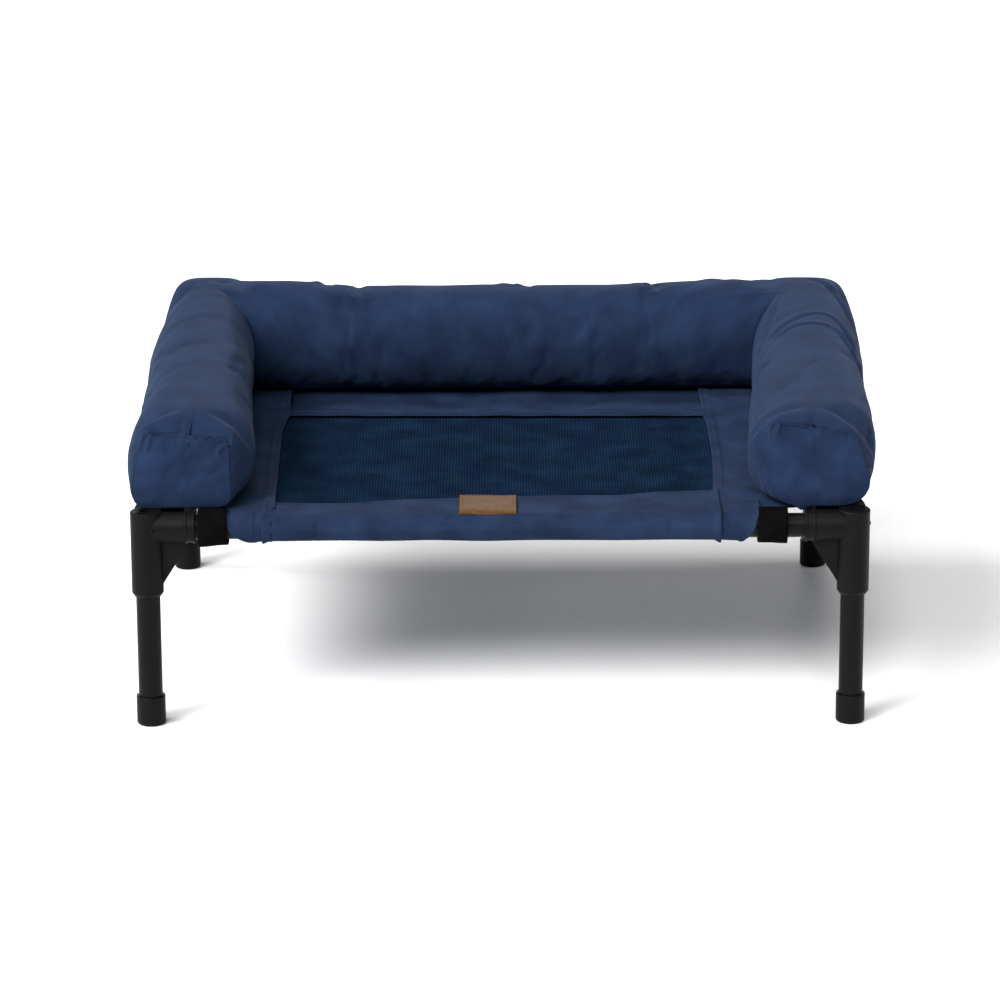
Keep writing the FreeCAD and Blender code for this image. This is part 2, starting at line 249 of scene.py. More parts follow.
def colour_and_bump(tree, shader, factor, stops, height, bump_mm, strength):
    """Links a ramp over factor to the colour, and a raised pattern to the normal."""
    tree.links.new(ramp(tree, factor, stops), shader.inputs["Base Color"])
    bumps = node(tree, "ShaderNodeBump", Height=height, Distance=bump_mm * MM, Strength=strength)
    tree.links.new(bumps.outputs["Normal"], shader.inputs["Normal"])


def woven_cloth(name, shades, thread_mm, bump_mm, roughness, sheen, sheen_tint, gloss=0.06):
    """Plain-weave cloth: warp over weft in cloth_mm, with uneven yarn colour and a soft surface fuzz."""
    made, tree, shader = material_of(name, Roughness=roughness, Sheen_Weight=sheen, Sheen_Roughness=0.5,
                                     Sheen_Tint=colour(sheen_tint), Specular_IOR_Level=gloss)
    place = node(tree, "ShaderNodeAttribute", {"attribute_name": "cloth_mm"}).outputs["Vector"]
    split = node(tree, "ShaderNodeSeparateXYZ", Vector=place)
    times, times_plus = {"operation": "MULTIPLY"}, {"operation": "MULTIPLY_ADD"}
    crossings = []
    for axis in ("X", "Y"):
        turns = node(tree, "ShaderNodeMath", times, n0=split.outputs[axis], n1=math.pi / thread_mm).outputs[0]
        crossings.append(node(tree, "ShaderNodeMath", {"operation": "SINE"}, n0=turns).outputs[0])
    weave = node(tree, "ShaderNodeMath", times, n0=crossings[0], n1=crossings[1]).outputs[0]
    # Slubs: yarns about 1 mm wide that run slightly lighter or darker for 20 mm. The mottle of the dye is about 33 mm
    # across, and the grain of the nap 0.9 mm.
    slub_place = node(tree, "ShaderNodeVectorMath", times, n0=place, n1=(0.05, 0.9, 1.0)).outputs[0]
    slubs = node(tree, "ShaderNodeTexNoise", Vector=slub_place, Scale=1.0, Detail=2.0).outputs["Fac"]
    mottle = node(tree, "ShaderNodeTexNoise", Vector=place, Scale=0.03, Detail=4.0).outputs["Fac"]
    grain = node(tree, "ShaderNodeTexNoise", Vector=place, Scale=1.1, Detail=2.0).outputs["Fac"]
    mixed = mottle
    for pattern, share in ((weave, 0.10), (slubs, 0.30), (grain, 0.35)):
        mixed = node(tree, "ShaderNodeMath", times_plus, n0=pattern, n1=share, n2=mixed).outputs[0]
    centred = node(tree, "ShaderNodeMath", times_plus, n0=mixed, n1=1.0, n2=-0.32).outputs[0]
    height = node(tree, "ShaderNodeMath", times_plus, n0=grain, n1=0.7, n2=weave).outputs[0]
    colour_and_bump(tree, shader, centred, zip((0.25, 0.5, 0.78), shades), height, bump_mm, 0.6)
    return made


def moulded_plastic(name, shades, roughness, grain_mm, bump_mm):
    """Moulded plastic or powder coat: fine raised grain, uneven gloss and a faint bloom in patches of 26 mm."""
    made, tree, shader = material_of(name, IOR=1.5, Specular_IOR_Level=0.1)
    place = node(tree, "ShaderNodeTexCoord").outputs["Object"]
    grain = node(tree, "ShaderNodeTexNoise", Vector=place, Scale=1 / (grain_mm * MM), Detail=3.0).outputs["Fac"]
    bloom = node(tree, "ShaderNodeTexNoise", Vector=place, Scale=38.0, Detail=4.0).outputs["Fac"]
    mixed = node(tree, "ShaderNodeMath", {"operation": "MULTIPLY_ADD"}, n0=grain, n1=0.35, n2=bloom).outputs[0]
    gloss = node(tree, "ShaderNodeMapRange", Value=bloom, To_Min=roughness - 0.06, To_Max=roughness + 0.08)
    tree.links.new(gloss.outputs[0], shader.inputs["Roughness"])
    colour_and_bump(tree, shader, mixed, zip((0.45, 0.85), shades), grain, bump_mm, 0.5)
    return made


# Brushed plain-weave polyester, piece-dyed navy: soft, matt, with a pale nap at grazing angles. Real yarns are 0.5 mm
# apart, drawn here at 1 mm so that the weave shows.
bolster_cloth = woven_cloth("navy_brushed_polyester", ("#131D32", "#18253D", "#1E2D47"), 1.0, 0.07, 0.85, 0.10,
                             "#93A8D2")
# Oxford-weave polyester of the mat's borders: the same dye, flatter and tighter, its 0.5 mm yarns also drawn at 1 mm.
border_cloth = woven_cloth("navy_oxford_polyester", ("#161F33", "#1C283E", "#23314B"), 1.0, 0.07, 0.8, 0.03, "#93A8D2",
                           gloss=0.02)
# PVC-coated polyester yarn of the mesh: smooth and flat, darker and greener than the borders, with 0.9 mm ripples.
mesh_yarn = woven_cloth("coated_mesh_yarn", ("#0D1624", "#101E2F", "#14273D"), 0.9, 0.05, 0.6, 0.0, "#6C8FB4",
                        gloss=0.0)
# Twisted polyester sewing thread, a shade darker than the cloth, with a turn of its twist each 0.5 mm.
thread = woven_cloth("navy_sewing_thread", ("#0B1527", "#0F1C33", "#14243F"), 0.5, 0.05, 0.6, 0.1, "#8CA0C8")
# Black nylon hook-and-loop tape: its looped pile, 0.8 mm apart, breaks the light up.
tape = woven_cloth("black_hook_and_loop_tape", ("#030303", "#070707", "#0E0E0F"), 0.8, 0.3, 0.85, 0.0, "#A8AAAC",
                   gloss=0.02)
# Moulded black polypropylene with a spark-eroded grain of 0.7 mm, drawn coarse so that it shows.
corner_plastic = moulded_plastic("moulded_black_polypropylene", ("#070708", "#0A0A0B"), 0.5, 0.7, 0.05)
# Polyester powder coat on steel tube: satin with a faint orange peel of 1.6 mm.
powder_coat = moulded_plastic("black_powder_coat", ("#070708", "#0A0A0B"), 0.42, 1.6, 0.05)
# Softer polyethylene foot caps, moulded with a 0.9 mm grain that is smoother than the corners'.
foot_plastic = moulded_plastic("moulded_black_polyethylene", ("#070708", "#0A0A0B"), 0.48, 0.9, 0.03)


def tan_leatherette():
    """Embossed polyurethane on a woven back: tan, with a pebble grain of about a millimetre."""
    made, tree, shader = material_of("tan_leatherette", Specular_IOR_Level=0.1)
    place = node(tree, "ShaderNodeAttribute", {"attribute_name": "cloth_mm"}).outputs["Vector"]
    pebble = node(tree, "ShaderNodeTexVoronoi", Vector=place, Scale=0.9).outputs["Distance"]
    mottle = node(tree, "ShaderNodeTexNoise", Vector=place, Scale=0.12, Detail=5.0).outputs["Fac"]
    gloss = node(tree, "ShaderNodeMapRange", Value=mottle, To_Min=0.5, To_Max=0.68)
    tree.links.new(gloss.outputs[0], shader.inputs["Roughness"])
    colour_and_bump(tree, shader, mottle, ((0.3, "#432B10"), (0.5, "#4F3415"), (0.72, "#5A3D1D")), pebble, 0.25, 0.5)
    return made


leatherette = tan_leatherette()
# Matching tan sewing thread of the label.
label_thread = woven_cloth("tan_sewing_thread", ("#3D2815", "#48301B", "#553A22"), 0.5, 0.05, 0.6, 0.02, "#E0C8A8")


# ---- camera, light and floor

LIGHT = 1.15                 # brings every sun up together
ROOM_STRENGTH = 0.06
SUN_SPREAD = math.radians(24)
# A softbox as wide as the ceiling, leaning from the front left, as five soft suns, then two low fills from behind and
# from the right: how far left and ahead each comes from for a unit of height, and its strength.
SUNS = ((0.9, 0.0, 1.4), (1.15, 0.9, 1.1), (0.85, 1.05, 2.3), (0.1, 1.0, 1.2), (0.0, 0.0, 0.5),
        (0.0, -2.5, 0.7), (-2.5, 0.0, 0.6))
AIM_HEIGHT = 0.1285          # metres
FLOOR_HALF = 9000            # millimetres


def studio():
    """The camera, the lamps, a dim even room and a pale floor."""
    camera = bpy.data.cameras.new("camera")
    camera.lens, camera.sensor_width, camera.clip_end = 152.3, 36, 50
    eye = bpy.data.objects.new("camera", camera)
    bpy.context.scene.collection.objects.link(eye)
    target = Vector((0, MIDDLE_Y * MM, AIM_HEIGHT))
    pitch, roll, distance = math.radians(16.64), math.radians(-0.2), 3.711
    turn = Matrix.Rotation(math.pi / 2 - pitch, 3, "X") @ Matrix.Rotation(roll, 3, "Z")
    stand = target + Vector((0, -math.cos(pitch), math.sin(pitch))) * distance
    eye.matrix_world = Matrix.Translation(stand) @ turn.to_4x4()
    bpy.context.scene.camera = eye
    for number, (left, ahead, strength) in enumerate(SUNS):
        light = bpy.data.lights.new(f"softbox_{number}", "SUN")
        light.energy, light.angle = strength * LIGHT, SUN_SPREAD
        holder = bpy.data.objects.new(light.name, light)
        bpy.context.scene.collection.objects.link(holder)
        holder.rotation_euler = Vector((-left, -ahead, 1)).to_track_quat("Z", "Y").to_euler()
    world = bpy.data.worlds.new("room")
    bpy.context.scene.world = world
    world.use_nodes = True
    background = world.node_tree.nodes["Background"]
    background.inputs["Color"].default_value = (1, 1, 1, 1)
    background.inputs["Strength"].default_value = ROOM_STRENGTH
    bpy.context.scene.view_settings.view_transform = "Standard"

    floor_paint, tree, shader = material_of("white_studio_floor", Roughness=0.9, Specular_IOR_Level=0.1)
    speckle = node(tree, "ShaderNodeTexNoise", Scale=90.0, Detail=3.0).outputs["Fac"]
    tree.links.new(ramp(tree, speckle, [(0.3, "#F4F4F4"), (0.7, "#F8F8F8")]), shader.inputs["Base Color"])
    corners = [(x * FLOOR_HALF, y * FLOOR_HALF, 0) for x, y in ((-1, -1), (1, -1), (1, 1), (-1, 1))]
    floor = new_piece("studio_floor", corners, [(0, 1, 2, 3)], floor_paint)


studio()


# ---- stuffed bolster

AROUND = 72          # points round a stuffed section on the mesh that the cloth simulation moves
SIDE = AROUND // 4
FILL_FRAMES = 20     # frames of the cloth simulation


def section(wide, high, top_square, base_square):
    """Even points round a stuffed section, from the middle of its underside towards +X."""
    turn = np.linspace(-math.pi / 2, 1.5 * math.pi, 721)
    power = np.where(np.sin(turn) < 0, 2 / base_square, 2 / top_square)
    outline = np.stack([np.sign(np.cos(turn)) * abs(np.cos(turn)) ** power * wide / 2,
                        np.sign(np.sin(turn)) * abs(np.sin(turn)) ** power * high / 2], 1)
    return spaced(outline, AROUND + 1)[:-1]


def panel_edges():
    """The numbers round a ring of the low, high, left and right edges of its end panel."""
    k = np.arange(SIDE + 1)
    return (7 * SIDE // 2 + k) % AROUND, 5 * SIDE // 2 - k, 7 * SIDE // 2 - k, SIDE // 2 + k


def end_patch(rim, bulge):
    """Square grid of points that fills a ring, pushed out by bulge (a vector) in its middle."""
    low, high, left, right = (rim[edge] for edge in panel_edges())
    u = (np.arange(SIDE + 1) / SIDE)[None, :, None]
    v = u.reshape(-1, 1, 1)
    patch = ((1 - v) * low[None] + v * high[None] + (1 - u) * left[:, None] + u * right[:, None]
             - (1 - u) * (1 - v) * low[0] - u * (1 - v) * low[-1] - (1 - u) * v * high[0] - u * v * high[-1])
    return patch + np.minimum(16 * u * (1 - u) * v * (1 - v) * 1.25, 1) * np.asarray(bulge)


def stuffed_skin(name, rings, bulges, material):
    """Closed skin over rings of points, its two end panels bulged out, with the cloth's place on every corner."""
    rows = len(rings)
    points, faces, places = [rings.reshape(-1, 3)], grid_faces(rows, AROUND, around=True), []
    girth = np.linalg.norm(np.diff(np.concatenate([rings, rings[:, :1]], 1), axis=1), axis=2)
    around = np.concatenate([np.zeros((rows, 1)), np.cumsum(girth, axis=1)], 1)
    along = np.concatenate([[0], np.cumsum(np.linalg.norm(np.diff(rings.mean(1), axis=0), axis=1))])
    for row in range(rows - 1):
        for k in range(AROUND):
            places += [(around[row, k], along[row]), (around[row, k + 1], along[row]),
                       (around[row + 1, k + 1], along[row + 1]), (around[row + 1, k], along[row + 1])]
    for row, bulge in zip((0, rows - 1), bulges):
        patch = end_patch(rings[row], bulge)
        first = sum(len(p) for p in points)
        ids = np.zeros((SIDE + 1, SIDE + 1), int)
        ids[1:-1, 1:-1] = first + np.arange((SIDE - 1) ** 2).reshape(SIDE - 1, SIDE - 1)
        ids[0], ids[-1], ids[:, 0], ids[:, -1] = (row * AROUND + edge for edge in panel_edges())
        points.append(patch[1:-1, 1:-1].reshape(-1, 3))
        spread = np.linalg.norm(np.diff(patch, axis=1), axis=2).mean()
        for i in range(SIDE):
            for j in range(SIDE):
                corners = ((i, j), (i, j + 1), (i + 1, j + 1), (i + 1, j))
                if row:
                    corners = corners[::-1]
                faces.append(tuple(int(ids[c]) for c in corners))
                places += [(c[1] * spread, c[0] * spread) for c in corners]
    piece = new_piece(name, np.vstack(points), faces, material)
    layer = piece.data.attributes.new("cloth_mm", "FLOAT_VECTOR", "CORNER")
    layer.data.foreach_set("vector", np.c_[places, np.zeros(len(places))].astype(np.float32).ravel())
    if volume_of(piece) < 0:
        piece.data.flip_normals()
    return piece


def volume_of(piece):
    """Signed volume, which is negative where the faces look inwards."""
    made = bmesh.new()
    made.from_mesh(piece.data)
    volume = made.calc_volume(signed=True)
    made.free()
    return volume


def points_of(mesh):
    """A mesh's points in millimetres about the frame's middle."""
    flat = np.zeros(len(mesh.vertices) * 3)
    mesh.vertices.foreach_get("co", flat)
    return flat.reshape(-1, 3) / MM - [0, MIDDLE_Y, 0]


def normals_of(mesh):
    """A mesh's normal at each point."""
    flat = np.zeros(len(mesh.vertices) * 3)
    mesh.vertex_normals.foreach_get("vector", flat)
    return flat.reshape(-1, 3)


def put_points(mesh, points):
    """Moves a mesh's points to those, in millimetres about the frame's middle."""
    mesh.vertices.foreach_set("co", ((points + [0, MIDDLE_Y, 0]) * MM).astype(np.float32).ravel())
    mesh.update()


def apply_modifiers(piece):
    """Makes what the modifiers show the piece's own mesh, and takes them off."""
    made = bpy.data.meshes.new_from_object(piece.evaluated_get(bpy.context.evaluated_depsgraph_get()))
    piece.modifiers.clear()
    piece.data = made


def fill_with_fibre(piece, held, reach, slack):
    """Cloth simulation: fibre pressure puffs the skin, whose cloth is cut slack wider, and no point goes past reach."""
    before = points_of(piece.data)
    group = piece.vertex_groups.new(name="held")
    for index in np.flatnonzero(held):
        group.add([int(index)], 1, "REPLACE")
    cloth = piece.modifiers.new("filling", "CLOTH")
    fabric = cloth.settings
    fabric.quality, fabric.mass, fabric.vertex_group_mass = 6, 0.3, "held"
    fabric.use_pressure, fabric.uniform_pressure_force = True, 4
    fabric.tension_stiffness = fabric.compression_stiffness = 15
    fabric.shear_stiffness, fabric.bending_stiffness = 5, 0.3
    fabric.shrink_min = -slack
    fabric.effector_weights.gravity = 0
    cloth.collision_settings.use_collision = False
    cloth.point_cache.frame_start, cloth.point_cache.frame_end = 1, FILL_FRAMES
    for step in range(1, FILL_FRAMES + 1):
        bpy.context.scene.frame_set(step)
    apply_modifiers(piece)
    piece.vertex_groups.clear()
    moved = points_of(piece.data) - before
    size = np.linalg.norm(moved, axis=1, keepdims=True)
    put_points(piece.data, before + moved * reach * np.tanh(size / reach) / np.maximum(size, 1e-6))


def finer(piece):
    """Two steps of subdivision, applied."""
    smoothing = piece.modifiers.new("finer", "SUBSURF")
    smoothing.levels = smoothing.render_levels = 2
    apply_modifiers(piece)


def line_distance(points, line):
    """Each point's distance and gap to a line of points, how far along it from 0 to 1, and the line's heading."""
    ends = np.cumsum(np.r_[0, np.linalg.norm(np.diff(line, axis=0), axis=1)])
    best = np.full(len(points), 1e9)
    offset = np.zeros((len(points), 3))
    share = np.zeros(len(points))
    heading = np.zeros((len(points), 3))
    for a, b, start, end in zip(line, line[1:], ends, ends[1:]):
        span = b - a
        t = np.clip((points - a) @ span / (span @ span), 0, 1)
        gap = points - a - t[:, None] * span
        distance = np.linalg.norm(gap, axis=1)
        near = distance < best
        best[near], offset[near] = distance[near], gap[near]
        share[near] = ((start + t * (end - start)) / ends[-1])[near]
        heading[near] = span / np.linalg.norm(span)
    return best, offset, share, heading


def crease(points, normals, line, width, depth, ridge=0.55):
    """Presses a fold into a skin: a valley with a rounder ridge on the line's left, fading at both ends."""
    line = curve_through(line, 14)
    reach = width * 4
    inside = np.all((points > line.min(0) - reach) & (points < line.max(0) + reach), axis=1)
    chosen = np.flatnonzero(inside)
    distance, offset, share, heading = line_distance(points[chosen], line)
    side = np.sign(np.einsum("ij,ij->i", offset, np.cross(normals[chosen], heading)))
    across = distance * side / width
    fade = np.sqrt(smooth(share, 0, 0.3) * (1 - smooth(share, 0.62, 1)))
    height = -depth * np.exp(-across ** 2) + ridge * depth * np.exp(-((across - 1.7) / 1.25) ** 2)
    points[chosen] += normals[chosen] * (height * fade)[:, None]


def seam_groove(points, normals, line, width, depth):
    """Draws a skin in along a sewn seam, at the skin's nearest points to the line."""
    line = points[nearest_points(points, line)]
    reach = width * 3
    chosen = np.flatnonzero(np.all((points > line.min(0) - reach) & (points < line.max(0) + reach), axis=1))
    distance = line_distance(points[chosen], line)[0]
    points[chosen] -= normals[chosen] * (depth * np.exp(-(distance / width) ** 2))[:, None]


def on_skin(rings, places, along, degrees):
    """Point on a stuffed skin: along it in millimetres, and round it with 0 outside, 90 on top and 180 inside."""
    row = np.interp(along, places, np.arange(len(places)))
    low = int(row)
    ring = rings[low] * (1 - row + low) + rings[min(low + 1, len(rings) - 1)] * (row - low)
    middle = (ring.max(0) + ring.min(0)) / 2
    flat = ring - middle
    out = np.abs(flat[:, :2]).sum(1) * np.sign(flat[SIDE] @ flat.T)
    angle = np.degrees(np.arctan2(flat[:, 2], out)) % 360
    gap = np.abs((angle - degrees + 180) % 360 - 180)
    nearest = np.argsort(gap)[:2]
    weight = 1 - gap[nearest] / max(gap[nearest].sum(), 1e-9)
    return (ring[nearest] * weight[:, None]).sum(0)


def ease_in(depth, run, place, power=1.8):
    """How far a skin draws in towards its end panel: depth at the panel, nothing after run."""
    return depth * (1 - np.clip(place / run, 0, 1)) ** power


def arm_size(side, place):
    """Outer and inner reach along X of an arm, and its top and floor, away from its ends."""
    share = (place - ARM_FRONT) / (ARM_REAR - ARM_FRONT)
    stations = (0, 0.1, 0.25, 0.45, 0.65, 0.85, 1)
    if side < 0:
        outer, inner = (308, 308, 307, 309, 310, 305, 297), (203, 205, 209, 214, 219, 224, 228)
    else:
        outer, inner = (309, 313, 317, 319, 324, 324, 315), (205, 207, 211, 217, 224, 232, 238)
    crest = (257, 259, 261, 264, 268, 274, 279 if side < 0 else 276.5)
    return *(np.interp(share, stations, row) for row in (outer, inner, crest)), FRAME_TOP + 0.6


def arm_flank(side, place, up):
    """How far out an arm's inner flank is at a height."""
    outer, inner, top, floor = arm_size(side, place)
    rise = np.clip(abs(up - (top + floor) / 2) / ((top - floor) / 2), 0, 1)
    return (outer + inner) / 2 - (outer - inner) / 2 * (1 - rise ** 2.6) ** (1 / 2.6)


ROUND_FROM, ROUND_RUN, ROUND_TO_Z = 197, 48, 226      # where an arm's rear end starts to round down, and to what height


def arm_rings(side):
    """Rings of an arm from the front panel to the rear one. The two arms bow and lean a little differently."""
    length = ARM_REAR - ARM_FRONT
    places = ARM_FRONT + length * np.r_[0, 0.006, 0.014, 0.024, 0.036, np.linspace(0.05, 0.95, 64),
                                        0.964, 0.976, 0.986, 0.994, 1]
    rings = []
    for place in places:
        near, far = place - ARM_FRONT, ARM_REAR - place
        outer, inner, top, floor = arm_size(side, place)
        outer -= ease_in(4 if side < 0 else 3, 34, near) + ease_in(2, 12, far)
        inner += ease_in(19 if side < 0 else 17, 44, near) + ease_in(4, 16, far)
        top -= ease_in(12, 36, near, 2.0) if side < 0 else ease_in(7, 44, near, 1.8)
        # The rear end rounds down like the back tube beside it.
        beyond = np.clip((place - ROUND_FROM) / ROUND_RUN, 0, 0.97)
        top -= (top - ROUND_TO_Z) * (1 - (1 - beyond ** 2.8) ** (1 / 2.8))
        front, rear = max(1 - near / 30, 0) ** 2, max(1 - far / 60, 0)
        flat = section(outer - inner, top - floor, 2.5 + 9 * front + 3 * rear,
                       4.2 + (2.4 if side < 0 else -0.8) * front)
        # The filling sags low and outwards at the front, so the flank stands out under the seam's corner.
        flat[:, 0] -= max(1 - near / 60, 0) * 9 * smooth(flat[:, 1], -12, 30) * (flat[:, 0] > 0)
        # The end panels lean back at the top.
        lean = -0.14 * (1 - np.clip(near / 50, 0, 1)) + 0.06 * (1 - np.clip(far / 40, 0, 1))
        # The crowns of the front panels fall away, the left arm's to the inside and the right arm's to the outside.
        tilt = (0.10 if side < 0 else -0.15) * (1 - np.clip(near / 60, 0, 1))
        rings.append(np.stack([side * ((outer + inner) / 2 + flat[:, 0]), place - lean * flat[:, 1],
                               (top + floor) / 2 + flat[:, 1] + tilt * flat[:, 0] * (flat[:, 1] > 0)], 1))
    return np.array(rings), places


def back_rings():
    """Rings of the back tube from left to right, pressed into the arms at both ends."""
    shares = np.r_[-1, -0.988, np.linspace(-0.97, 0.97, 92), 0.988, 1]
    plain = BACK[1][0] * 0.62        # the tube is straight up to here
    half = BACK[1][0] + 12
    rings, places = [], []
    for share in shares:
        place = share * half
        top = 272.0 - 1.6 * bump(place, 60, 70) + 4.4 * smooth(place, 90, 200) + 5.2 * (1 - smooth(place, -190, -110))
        top += 2.0 * (1 - smooth(place, -250, -205)) + 1.5 * smooth(place, 205, 250)
        low = BACK[0][2]
        front, rear = 147.0 - 1.5 * bump(place, -40, 80), 243
        flat = section(rear - front, top - low, 2.25, 3.2)
        y, z = (front + rear) / 2 + flat[:, 0], (top + low) / 2 + flat[:, 1]
        # The ends are pushed up against the arms, so they take the shape of the arms' flanks.
        side = 1 if share > 0 else -1
        reach = np.array([arm_flank(side, *spot) for spot in zip(y, z)]) + 2.5
        beyond = max(abs(place) - plain, 0) / (half - plain)
        x = side * (min(abs(place), plain) + beyond * (reach - plain))
        rings.append(np.stack([x, y, z], 1))
        places.append(place)
    return np.array(rings), np.array(places)


RESTS_ON = {"left_arm": FRAME_TOP + 0.25, "back_bolster": BACK[0][2] - 0.2}      # height of the flat undersides


def bolster_part(name, rings, places, bulges, folds, seams, pinches=()):
    """One stuffed part: shaped, filled by simulation, then creased along folds and drawn in along seams."""
    piece = stuffed_skin(name, rings, bulges, bolster_cloth)
    start = points_of(piece.data)
    held = start[:, 2] < start[:, 2].min() + 4
    held[:AROUND] = held[(len(rings) - 1) * AROUND: len(rings) * AROUND] = True
    fill_with_fibre(piece, held, reach=3.5, slack=0.015)
    finer(piece)
    points, normals = points_of(piece.data), normals_of(piece.data)
    # Loose cloth over the filling: long soft unevenness.
    uneven = waves(points[:, 0] * 1.2 + points[:, 2], points[:, 1] + points[:, 2] * 0.6, 60, 11)
    points += normals * (0.35 * uneven)[:, None]
    for width, depth, line in folds:
        crease(points, normals, [on_skin(rings, places, *spot) for spot in line], width, depth)
    for width, depth, line in pinches:
        crease(points, normals, line, width, depth, ridge=0.3)
    for width, depth, line in seams:
        seam_groove(points, normals, line, width, depth)
    if name in RESTS_ON:
        points[:, 2] = np.maximum(points[:, 2], RESTS_ON[name])
    else:
        # The right arm's underside sags onto the rail between the strap and the corner.
        low = 1 - smooth(points[:, 2], FRAME_TOP + 1, FRAME_TOP + 14)
        points[:, 2] -= 3.8 * low * bump(points[:, 0], 249, 5) * (1 - smooth(points[:, 1], -200, -185))
    put_points(piece.data, points)
    return piece


# ---- folds of the three stuffed parts

# Each fold: width and depth in mm, then its line as (place along, degrees round: 0 outside, 90 on top, 180 inside).
LEFT_FOLDS = [
    (6, 0.6, [(-70, 22), (-5, 60), (15, 95), (-5, 135)]),
    (6, 0.5, [(-110, 20), (-60, 62), (-45, 105)]),
    (7, 0.55, [(25, 28), (75, 62), (90, 100), (60, 148)]),
    (7, 0.6, [(95, 30), (140, 68), (152, 108), (120, 160)]),
    (6, 0.7, [(-50, 128), (5, 142), (40, 165)]),
    (5, 0.5, [(170, 40), (195, 80), (190, 120)]),
    (3, 1.2, [(-208, 76), (-198, 78), (-184, 82)]),
]
RIGHT_FOLDS = [
    (3.2, 2.6, [(42, 134), (72, 112), (92, 88), (98, 66)]),
    (2.6, 2.8, [(96, 86), (92, 66), (68, 48), (40, 30)]),
    (3.0, 2.6, [(28, 128), (56, 108), (64, 82), (60, 62)]),
    (2.8, 2.8, [(64, 84), (56, 62), (34, 44), (2, 26)]),
    (3.6, 2.2, [(60, 150), (120, 130), (190, 108)]),
    (4.0, 2.2, [(205, 96), (190, 68), (150, 44), (105, 28)]),
    (3.0, 1.8, [(30, 160), (80, 140), (135, 122)]),
    (3.0, 2.2, [(28, 32), (4, 24), (-24, 16)]),
    (5.0, 1.0, [(-120, 110), (-60, 92), (-30, 70)]),
    (2.6, 1.6, [(-190, 8), (-176, 14), (-160, 18)]),
]
BACK_FOLDS = [
    (5, 3.2, [(28, 88), (24, 60), (22, 28), (30, 8)]),
    (4, 2.6, [(20, 84), (10, 66), (8, 50)]),
    (4, 2.2, [(24, 30), (18, 0), (14, -28)]),
    (5, 2.6, [(-152, 92), (-154, 66), (-150, 40)]),
    (5, 2.6, [(-204, 60), (-200, 38), (-206, 20)]),
    (4, 2.2, [(144, 88), (132, 66), (130, 50)]),
    (4, 2.6, [(146, 58), (136, 30), (124, 6)]),
    (4, 2.2, [(150, 20), (142, -4)]),
    (5, 2.6, [(186, 66), (176, 34), (164, 10)]),
    (4, 2.4, [(206, 50), (202, 22), (200, -6)]),
    (5, 2.2, [(-120, 40), (-60, 26), (0, 30)]),
]


def bolster():
    """The two arms and the back, each a separate stuffed skin, and the stitching of the arms' front seams."""
    for label, side, folds in (("left_arm", -1, LEFT_FOLDS), ("right_arm", 1, RIGHT_FOLDS)):
        rings, places = arm_rings(side)
        # Only the top of the front panel's seam is drawn tight; its sides hardly show and its foot is hidden.
        seam = rings[0][3 * SIDE // 2: 5 * SIDE // 2 + 1]
        seams = [(1.3, 2.2, seam), (1.2, 0.6, rings[0][SIDE // 2 + 2: 3 * SIDE // 2]),
                 (1.2, 0.8, rings[0][5 * SIDE // 2 + 1: 7 * SIDE // 2 - 2]),
                 (1.4, 1.0, spaced(np.vstack([rings[-1], rings[-1][:1]]), 60))]
        # Pinched cloth at both corners of the seam and a few puckers along it.
        outer, inner = seam[0], seam[-1]
        if side < 0:
            pinches = [(1.5, 2.4, [outer + (0, -1, 0), outer + (-2, -3, -7), outer + (-4, -4, -16)]),
                       (1.7, 2.6, [inner + (0, -1, 0), inner + (6, 3, 3), inner + (7, 0, -2), inner + (-2, -4, -8),
                                   inner + (1, -4, -19)])]
        else:
            pinches = [(1.7, 2.6, [inner + (0, -1, 0), inner + (-1, -2, -4), inner + (-2, -4, -10)]),
                       (1.5, 2.0, [outer + (0, -1, 0), outer + (0.5, -3, -3), outer + (1, -4, -6)])]
        for place, long, deep in ((0.42, 16, 1.0), (0.62, 20, 0.8)):
            spot = seam[int(place * len(seam))]
            pinches.append((2.6, deep, [spot + (0, 10, 4), spot, spot + (side, -6, -long)]))
        piece = bolster_part(label, rings, places, ((0, -7, 0), (0, 5, 0)), folds, seams, pinches)
        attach(piece, "bed")
        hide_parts(label + "_cover", label + "_fill")
        skin = points_of(piece.data)
        line = skin[nearest_points(skin, seam)]
        sewing = stitches(label + "_stitching", [(line + (0, -0.5, 0.1), (0, -0.8, 0.6))], thread,
                          long=2.4, gap=1.2, thick=0.45)
        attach(sewing, "bed")
    rings, places = back_rings()
    piece = bolster_part("back_bolster", rings, places, ((0, 0, 0), (0, 0, 0)), BACK_FOLDS, [])
    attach(piece, "bed")
    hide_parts("back_cover", "back_fill")


# ---- mat

CLOTH = 1.2                                    # thickness of the border cloth
MAT_Z = RAIL_Z + TUBE_RADIUS + 0.3 + CLOTH     # upper face of the borders
WRAP = TUBE_RADIUS + 0.35 + CLOTH              # radius of the cloth's outer face round a rail
TAIL = 30                                      # how far a border runs back in under the mat
TUNNEL_X = box_mm("front_sleeve")[1][0]
TUNNEL_Y = (box_mm("left_sleeve")[1][1] - box_mm("left_sleeve")[0][1]) / 2


